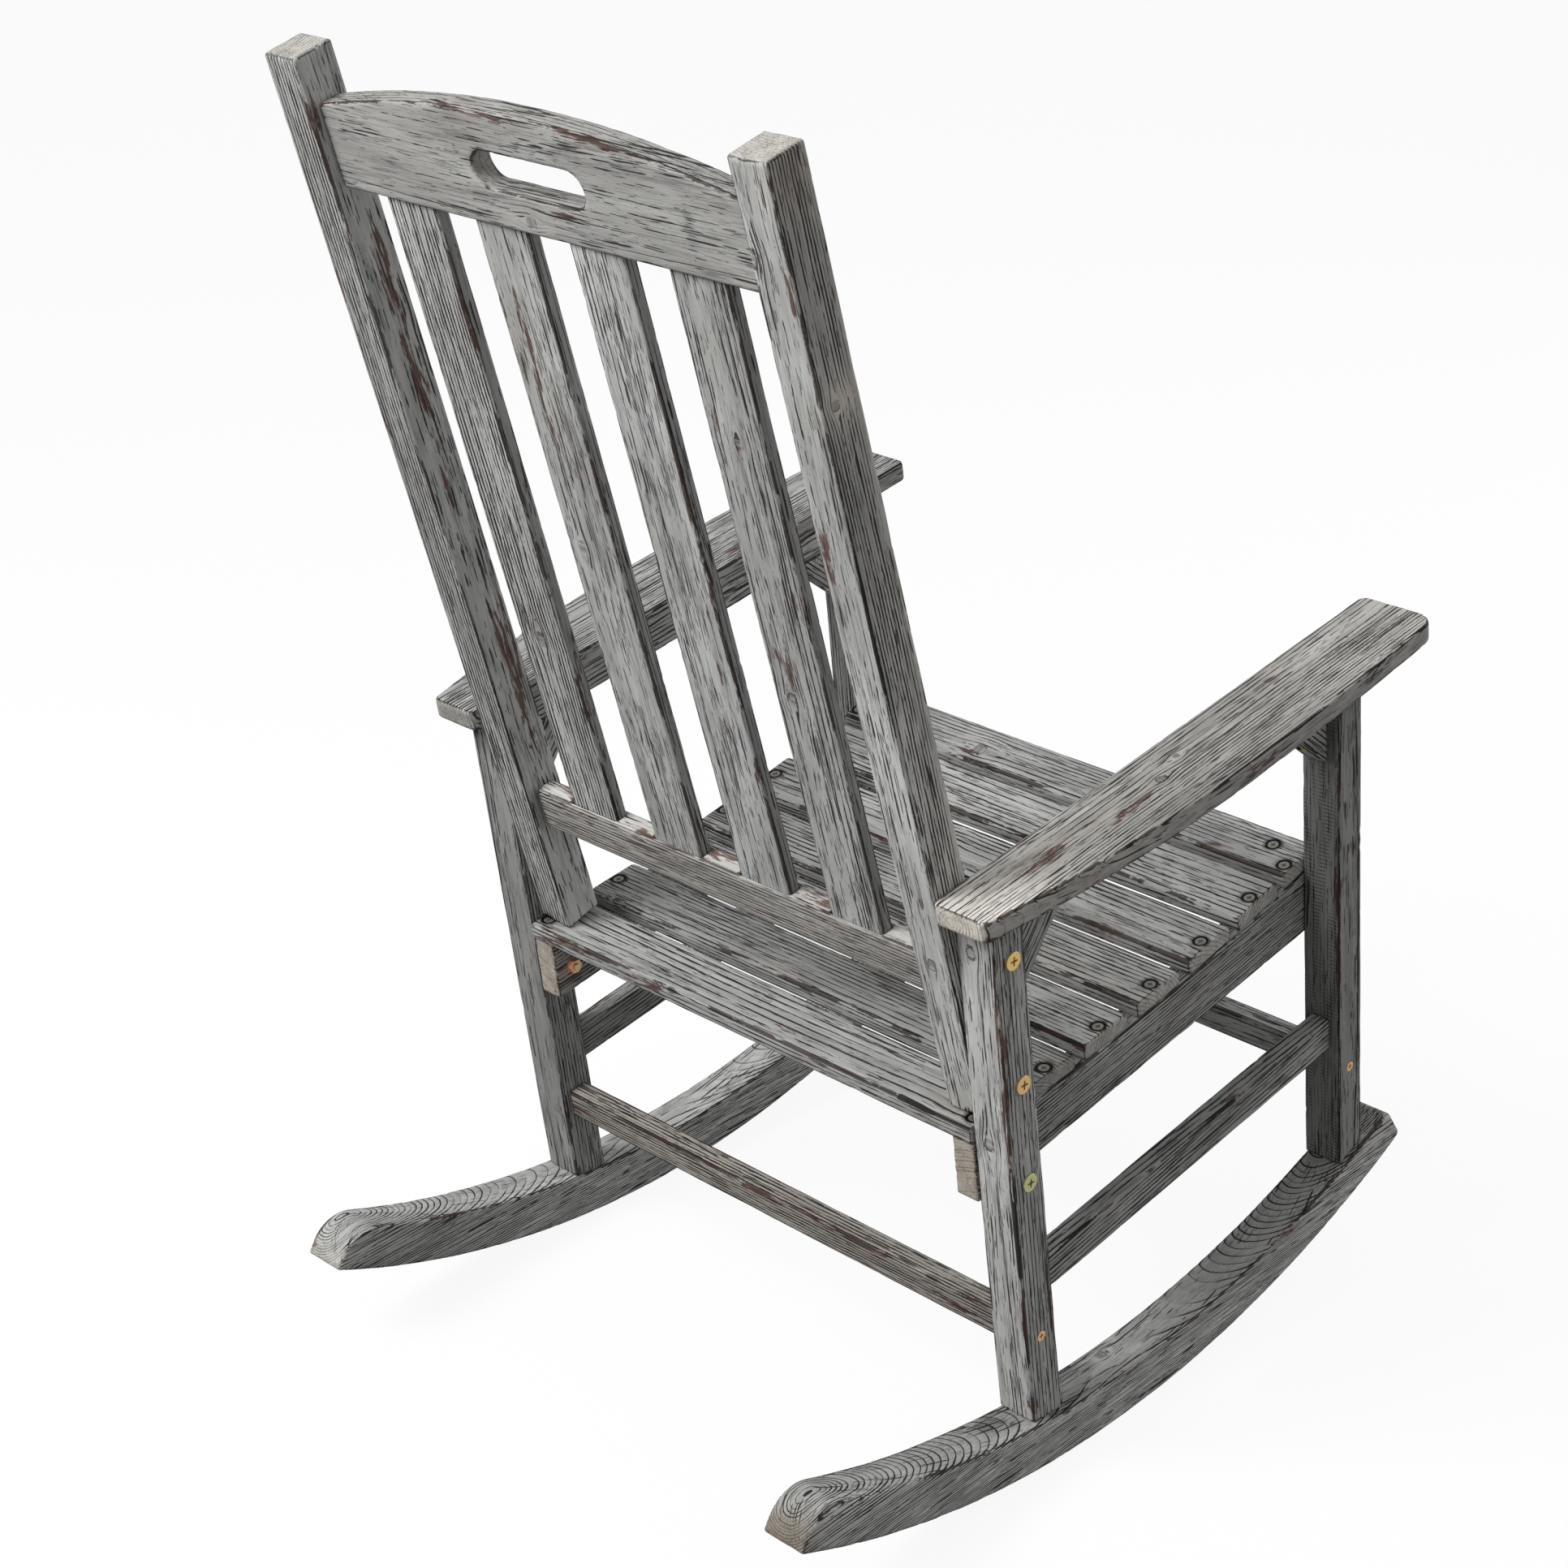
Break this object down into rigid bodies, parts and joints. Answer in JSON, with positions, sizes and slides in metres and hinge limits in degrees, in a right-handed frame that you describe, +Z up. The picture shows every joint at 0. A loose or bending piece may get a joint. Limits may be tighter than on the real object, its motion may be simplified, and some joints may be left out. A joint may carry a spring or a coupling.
{
  "type": "rocking chair",
  "caption": "High-backed wooden rocking chair with curved rockers, leaning square legs, broad arms, a dished slat seat and a slatted back under an arched crest rail with a hand hole.",
  "frame": {"origin": "On the floor, at the middle of the overall width and of the overall front-to-back length, with the chair at rest on its rockers.", "axes": "+Z is up, -Y is the way the chair faces and +X is the sitter's left. The floor is Z = 0, and the rockers touch it in one line parallel to X."},
  "size_m": [0.69, 0.7998, 1.1582],
  "materials": {
    "weathered_wood": "brushed softwood under a thin grey wash, worn through at the edges",
    "dowel_wood": "plain turned hardwood",
    "plated_steel": "yellow zinc plating",
    "plated_nut": "yellow zinc plating, slightly bronzed"
  },
  "bodies": {
    "root": {"arm_dowels": "dowel_wood", "arm_left": "weathered_wood", "arm_rail_left": "weathered_wood", "arm_rail_right": "weathered_wood", "arm_right": "weathered_wood", "arm_screws": "plated_steel", "back_post_bolts": "plated_steel", "back_post_left": "weathered_wood", "back_post_right": "weathered_wood", "back_rail_dowels": "dowel_wood", "back_slat_1": "weathered_wood", "back_slat_2": "weathered_wood", "back_slat_3": "weathered_wood", "back_slat_4": "weathered_wood", "brace_screws": "plated_steel", "crest_rail": "weathered_wood", "front_brace_left": "weathered_wood", "front_brace_right": "weathered_wood", "front_leg_left": "weathered_wood", "front_leg_right": "weathered_wood", "front_stretcher": "weathered_wood", "lower_back_rail": "weathered_wood", "rear_brace_left": "weathered_wood", "rear_brace_right": "weathered_wood", "rear_leg_left": "weathered_wood", "rear_leg_right": "weathered_wood", "rear_stretcher": "weathered_wood", "rocker_left": "weathered_wood", "rocker_right": "weathered_wood", "rocker_screws": "plated_steel", "seat_apron": "weathered_wood", "seat_apron_dowels": "dowel_wood", "seat_front_slat": "weathered_wood", "seat_rail_bolts": "plated_steel", "seat_rail_left": "weathered_wood", "seat_rail_nuts": "plated_nut", "seat_rail_right": "weathered_wood", "seat_rail_screws": "plated_steel", "seat_rear_board": "weathered_wood", "seat_screws": "plated_steel", "seat_slat_1": "weathered_wood", "seat_slat_2": "weathered_wood", "seat_slat_3": "weathered_wood", "seat_slat_4": "weathered_wood", "seat_slat_5": "weathered_wood", "side_stretcher_dowels": "dowel_wood", "side_stretcher_left": "weathered_wood", "side_stretcher_right": "weathered_wood", "stretcher_pins": "dowel_wood", "stretcher_screws": "plated_steel"}
  },
  "joints": []
}
